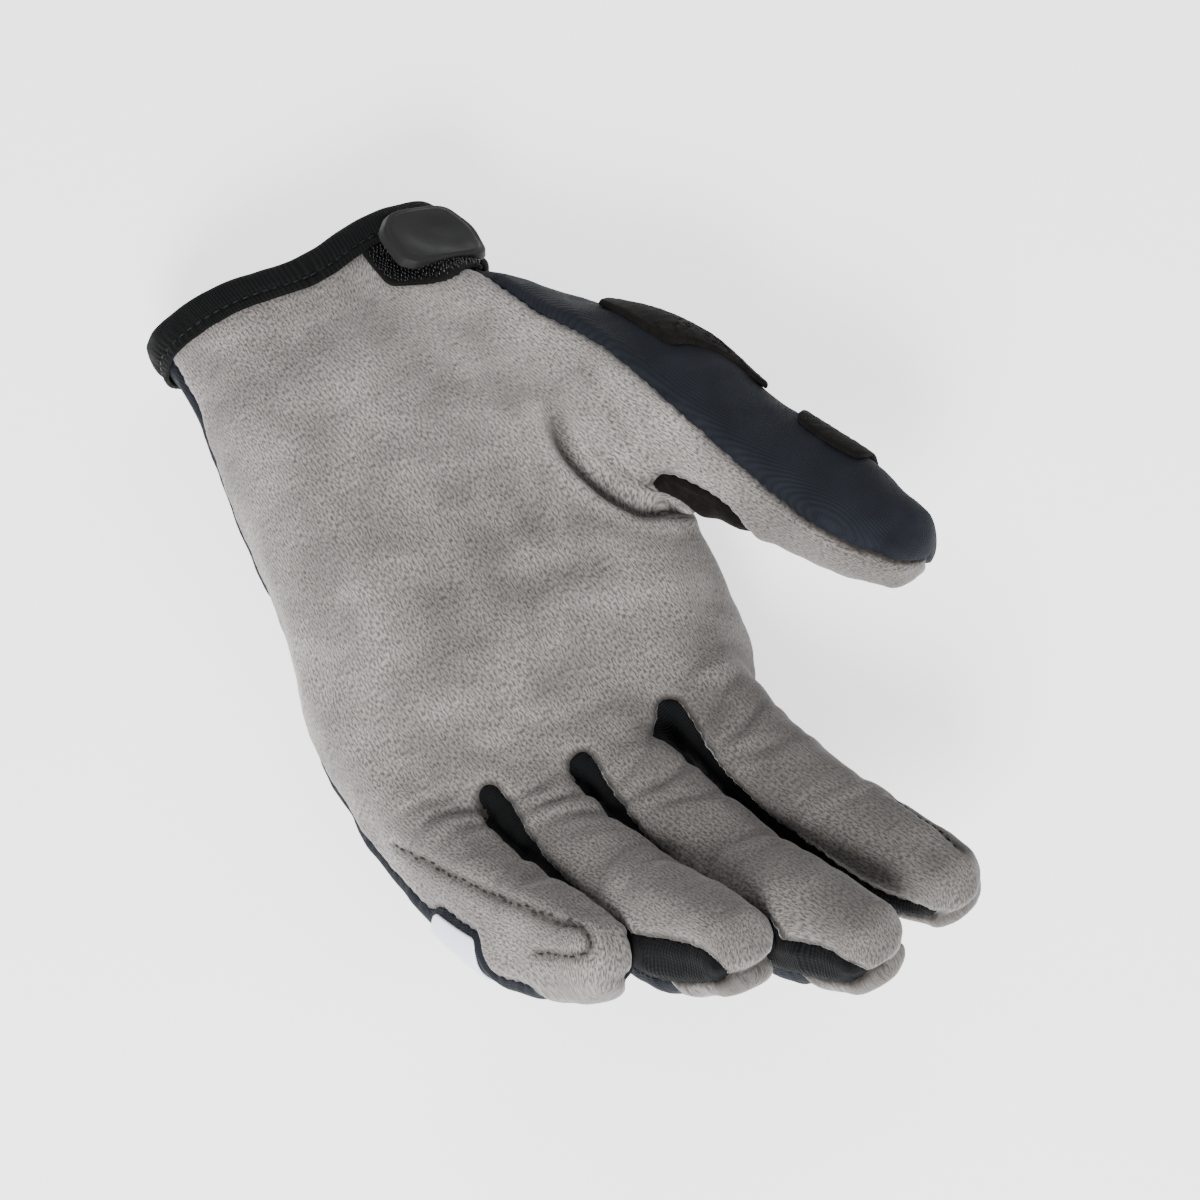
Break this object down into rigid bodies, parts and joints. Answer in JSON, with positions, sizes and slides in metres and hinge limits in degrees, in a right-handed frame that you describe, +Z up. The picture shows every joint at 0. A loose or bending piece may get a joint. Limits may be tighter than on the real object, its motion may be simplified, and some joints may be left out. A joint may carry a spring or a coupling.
{
  "type": "motocross glove",
  "caption": "Left-hand motocross glove lying palm up: grey suede palm, dark stretch back, ribbed gussets, knitted cuff binding and a rubber-tabbed wrist strap.",
  "frame": {"origin": "on the flat of the back of the hand, in the plane that the glove rests on", "axes": "+Z up out of the palm, +Y from the cuff to the fingertips, -X towards the thumb"},
  "size_m": [0.1418, 0.2325, 0.0664],
  "materials": {
    "palm_suede": "matt grey synthetic suede",
    "back_fabric": "dark navy stretch fabric",
    "ribbed_fabric": "black ribbed stretch fabric",
    "dark_suede": "dark brown-black suede",
    "binding_knit": "black knitted tape",
    "hook_loop": "black hook-and-loop",
    "tab_rubber": "dark grey moulded rubber",
    "label_white": "plain white patch"
  },
  "bodies": {
    "root": {"palm_panel": "palm_suede", "back_panel": "back_fabric", "index_middle_gusset": "ribbed_fabric", "middle_ring_gusset": "ribbed_fabric", "ring_little_gusset": "ribbed_fabric", "thumb_gusset": "dark_suede", "cuff_binding": "binding_knit", "hook_patch": "hook_loop", "wrist_strap": "hook_loop", "closure_tab": "tab_rubber", "thumb_base_patch": "dark_suede", "thumb_knuckle_patch": "dark_suede", "finger_label": "label_white"}
  },
  "joints": []
}
